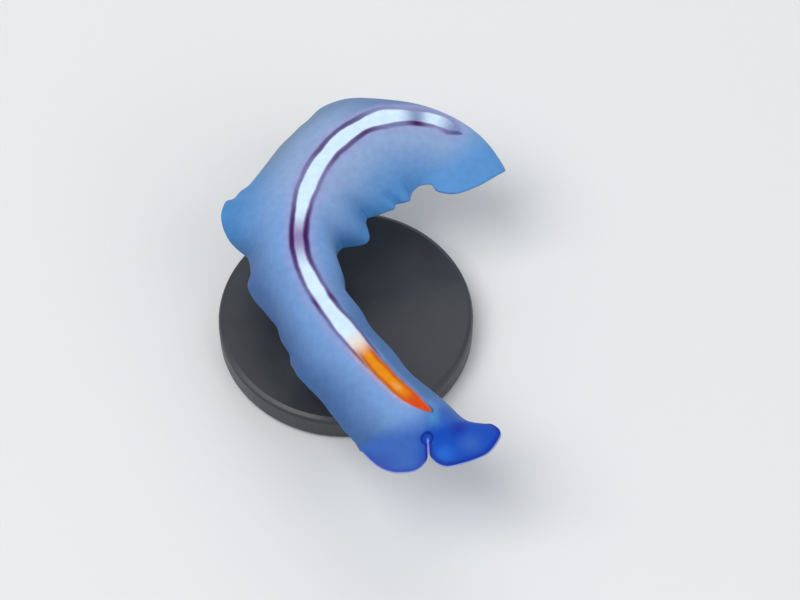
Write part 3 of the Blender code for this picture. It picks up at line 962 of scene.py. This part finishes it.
def belly_relief(points, along, reach):
    """Return how far the belly stands out: over each rod, round the mouth and at the sucker.

    Each form is a bell curve of the distance from its middle. The lips are a ring whose height
    swings on the way round, and the hollows of the mouth and of the cup are taken away.
    """
    out = np.zeros(along.shape)
    for place in ROD_PLACES:
        spot = midline(np.array(place))
        from_rod = np.linalg.norm(points[..., :2] - spot[:2], axis=-1)
        near = np.abs(along - place) < PAD_REACH
        out += np.where(near, PAD_HEIGHT * bell(from_rod, 0, PAD_RADIUS), 0)
    behind_mouth = (along - MOUTH_PLACE) / MOUTH_STRETCH
    from_mouth = np.hypot(behind_mouth, reach)
    folds = 1 + LIP_FOLD_SHARE * np.sin(LIP_FOLDS * np.arctan2(reach, behind_mouth))
    out += LIP_HEIGHT * bell(from_mouth, LIP_RADIUS, LIP_WIDTH) * folds
    out -= MOUTH_DEPTH * bell(from_mouth, 0, MOUTH_RADIUS)
    from_sucker = np.hypot(along - SUCKER_PLACE, reach)
    out += CUP_RIM_HEIGHT * bell(from_sucker, CUP_RIM_RADIUS, CUP_RIM_WIDTH)
    return out - CUP_DEPTH * bell(from_sucker, 0, CUP_RADIUS)


def pit_distance(along, reach):
    """Return the distance in mm outward from the rim of the pit between the lobes."""
    return np.hypot(along - PIT_PLACE, reach - PIT_ASIDE) - PIT_RADIUS


def back_relief(along, reach):
    """Return how far the back stands out: down in the pit and the seam, up round the pit."""
    from_rim = pit_distance(along, reach)
    pit = soft_inside(from_rim, PIT_SOFTNESS)
    seam = bell(reach, 0, SEAM_WIDTH) * soft_inside(along - PIT_PLACE, SEAM_SOFTNESS)
    return (PIT_RIM_HEIGHT * bell(from_rim, PIT_RIM_PLACE, PIT_RIM_WIDTH)
            - PIT_DEPTH * np.maximum(pit, SEAM_SHARE * seam))


def stripe_places(along, reach):
    """Return the distances in mm inward from the pale band's edge and its border's edge.

    With them comes the borders' strength, which fades on the right towards the tail.
    """
    offset, pale, right, left, dark = (
        level_curve(STRIPE[:, 0], STRIPE[:, column], along) for column in range(1, 6))
    aside = reach - offset
    white = pale - np.abs(aside)
    fade = np.clip((along - FADE_START) / (FADE_END - FADE_START), 0, 1) * (aside < 0)
    return {"white": white, "border": white + np.where(aside < 0, right, left),
            "dark": dark * (1 - FADE_STRENGTH * fade)}


def skin_surfaces(settings):
    """Return the points of the back and of the belly in mm, and the values that the paint reads.

    Each side lies off the middle of the sheet by half the thickness and its own relief, along
    the sheet's normal. Both meet on the margins, where the thickness is 0 and `under` a half.
    """
    along, across = skin_places()
    normal = facing(along, across)
    waves = margin_waves(along, across, settings.wave_depth / MM)
    middle = sheet(along, across) + normal * waves[..., None]
    closed = np.zeros(along.shape, bool)
    closed[0] = closed[-1] = closed[:, 0] = closed[:, -1] = True
    to_margin = nearest(middle.reshape(-1, 3), middle[closed]).reshape(along.shape)
    to_margin[closed] = 0
    reach = across * flank(along, across, HALF_WIDTH)
    half = body_thickness(to_margin, settings) / 2
    fade = np.clip(to_margin / BACK_RELIEF_FROM, 0, 1)
    back = middle + normal * (half + back_relief(along, reach) * fade)[..., None]
    fade = np.clip(to_margin / BELLY_RELIEF_FROM, 0, 1)
    belly = middle - normal * (half + belly_relief(middle, along, reach) * fade)[..., None]
    under = np.stack([np.zeros(along.shape), np.ones(along.shape)])
    under[:, closed] = 0.5
    places = {"along": along, "reach": reach, "share": across, "rim": to_margin,
              "pit": pit_distance(along, reach), "under": under, **stripe_places(along, reach)}
    return np.stack([back, belly]), places


class FLATWORM_OT_skin(bpy.types.Operator):
    """Make the animal's skin, one closed surface that stands for every solid of the body"""

    bl_idname = "flatworm.skin"
    bl_label = "Skin"

    def execute(self, context):
        settings = context.scene.flatworm_skin
        sides, places = skin_surfaces(settings)
        grid = sides.shape[:-1]
        kept, faces = skin_faces(*grid[1:])
        points = sides.reshape(-1, 3)[kept]
        piece = to_mesh("flatworm_skin", points, faces, skin_material(settings))
        if len(piece.data.vertices) != len(kept):
            raise RuntimeError("the skin lost points as its mesh was made")
        for name, value in places.items():
            both_sides = np.broadcast_to(value, grid).reshape(-1)
            layer = piece.data.attributes.new(name, "FLOAT", "POINT")
            layer.data.foreach_set("value", both_sides[kept].astype(np.float32))
        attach(piece, "root")
        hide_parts(*(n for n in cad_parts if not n.startswith("stand_")))
        return {"FINISHED"}


class FLATWORM_OT_stand(bpy.types.Operator):
    """Paint the base, brush the rods and put a collar round each rod"""

    bl_idname = "flatworm.stand"
    bl_label = "Stand"

    def execute(self, context):
        settings = context.scene.flatworm_stand
        paint, steel = paint_material(settings), steel_material(settings)
        for name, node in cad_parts.items():
            if name.startswith("stand_"):
                node.data.materials.clear()
                node.data.materials.append(paint if name == "stand_base" else steel)
        base_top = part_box("stand_base")[1].z / MM
        for name in ("stand_rod_front", "stand_rod_rear"):
            low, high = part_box(name)
            spot = np.array((low + high) / 2) / MM
            collar = self.collar(name.replace("rod", "collar"), spot, base_top,
                                 (high.x - low.x) / MM / 2, settings, steel)
            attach(collar, "root")
        return {"FINISHED"}

    def collar(self, name, spot, bottom, rod_radius, settings, material):
        """Turn a profile round the rod's axis: a foot, a rounded shoulder and a lip."""
        outer, height = settings.collar_radius / MM, settings.collar_height / MM
        turn = np.linspace(0, np.pi / 2, SHOULDER_POINTS)
        shoulder = np.stack([outer - COLLAR_SHOULDER * (1 - np.cos(turn)),
                             height - COLLAR_SHOULDER * (1 - np.sin(turn))], -1)
        inner = rod_radius + COLLAR_GAP
        lip = [(inner + COLLAR_BEVEL, height), (inner, height - COLLAR_BEVEL)]
        profile = np.concatenate([[(inner, 0.0), (outer, 0.0)], shoulder, lip])
        around = np.linspace(0, 2 * np.pi, COLLAR_SEGMENTS, endpoint=False)
        radius, up = profile[:, 0], profile[:, 1]
        points = np.stack([spot[0] + radius[:, None] * np.cos(around),
                           spot[1] + radius[:, None] * np.sin(around),
                           np.repeat(bottom + up[:, None], COLLAR_SEGMENTS, 1)], -1)
        ids = np.arange(len(profile) * COLLAR_SEGMENTS).reshape(len(profile), -1)
        quads = np.stack([ids, np.roll(ids, -1, 1), np.roll(np.roll(ids, -1, 0), -1, 1),
                          np.roll(ids, -1, 0)], -1).reshape(-1, 4)
        return to_mesh(name, points.reshape(-1, 3), quads, material)


class FLATWORM_OT_stage(bpy.types.Operator):
    """Lay the floor, hang the soft lights and place the camera"""

    bl_idname = "flatworm.stage"
    bl_label = "Stage"

    def execute(self, context):
        settings = context.scene.flatworm_stage
        half = settings.floor_size / 2 / MM
        corners = half * np.array([(-1, -1, 0), (1, -1, 0), (1, 1, 0), (-1, 1, 0)])
        floor = to_mesh("floor", corners, np.array([[0, 1, 2, 3]]), floor_material(settings))
        for light in LIGHTS:
            self.light(*light)
        world = bpy.data.worlds.new("studio")
        world.use_nodes = True
        background = world.node_tree.nodes["Background"]
        background.inputs["Color"].default_value = SKY_COLOUR
        background.inputs["Strength"].default_value = SKY_STRENGTH
        context.scene.world = world
        context.scene.view_settings.view_transform = "Standard"
        self.camera(settings)
        return {"FINISHED"}

    def light(self, name, place, width, power):
        """Hang a square soft light that faces the origin."""
        data = bpy.data.lights.new(name, "AREA")
        data.size = width
        data.energy = power
        lamp = bpy.data.objects.new(name, data)
        lamp.location = place
        lamp.rotation_euler = lamp.location.to_track_quat("Z", "Y").to_euler()
        bpy.context.scene.collection.objects.link(lamp)

    def camera(self, settings):
        """Look down at the body, with its middle at its place in the picture."""
        data = bpy.data.cameras.new("camera")
        data.lens = settings.lens
        data.sensor_width = SENSOR_WIDTH
        data.clip_start, data.clip_end = SEEN_FROM, SEEN_TO
        elevation = np.radians(LOOK_DOWN)
        middle = np.array(BODY_MIDDLE) * MM
        pixel = settings.distance * SENSOR_WIDTH / data.lens / PICTURE_SIZE[0]
        right_by, down_by = (PICTURE_SIZE / 2 - MIDDLE_PIXEL) * pixel
        back = np.array([0, -np.cos(elevation), np.sin(elevation)])
        up = np.array([0, np.sin(elevation), np.cos(elevation)])
        camera = bpy.data.objects.new("camera", data)
        camera.location = (middle + back * settings.distance
                           + right_by * np.array([1.0, 0, 0]) - down_by * up)
        camera.rotation_euler = (np.pi / 2 - elevation, 0, 0)
        bpy.context.scene.collection.objects.link(camera)
        bpy.context.scene.camera = camera


class FLATWORM_PT_panel(bpy.types.Panel):
    """The model's pieces and the settings that they are made from"""

    bl_idname = "FLATWORM_PT_panel"
    bl_label = "Racing Stripe Flatworm"
    bl_space_type = "VIEW_3D"
    bl_region_type = "UI"
    bl_category = "Flatworm"

    def draw(self, context):
        for operator, group in PIECES:
            box = self.layout.box()
            box.operator(operator.bl_idname)
            settings = getattr(context.scene, group)
            for name in settings.__annotations__:
                box.prop(settings, name)


PIECES = (
    (FLATWORM_OT_skin, "flatworm_skin"),
    (FLATWORM_OT_stand, "flatworm_stand"),
    (FLATWORM_OT_stage, "flatworm_stage"),
)
SETTINGS = {
    "flatworm_skin": FlatwormSkinSettings,
    "flatworm_stand": FlatwormStandSettings,
    "flatworm_stage": FlatwormStageSettings,
}
CLASSES = (*SETTINGS.values(), *(operator for operator, _ in PIECES), FLATWORM_PT_panel)


def register():
    for made in CLASSES:
        bpy.utils.register_class(made)
    for name, group in SETTINGS.items():
        setattr(bpy.types.Scene, name, PointerProperty(type=group))


def unregister():
    for name in SETTINGS:
        delattr(bpy.types.Scene, name)
    for made in reversed(CLASSES):
        bpy.utils.unregister_class(made)


def main():
    register()
    bpy.ops.flatworm.skin()
    bpy.ops.flatworm.stand()
    bpy.ops.flatworm.stage()


if __name__ == "__main__":
    main()
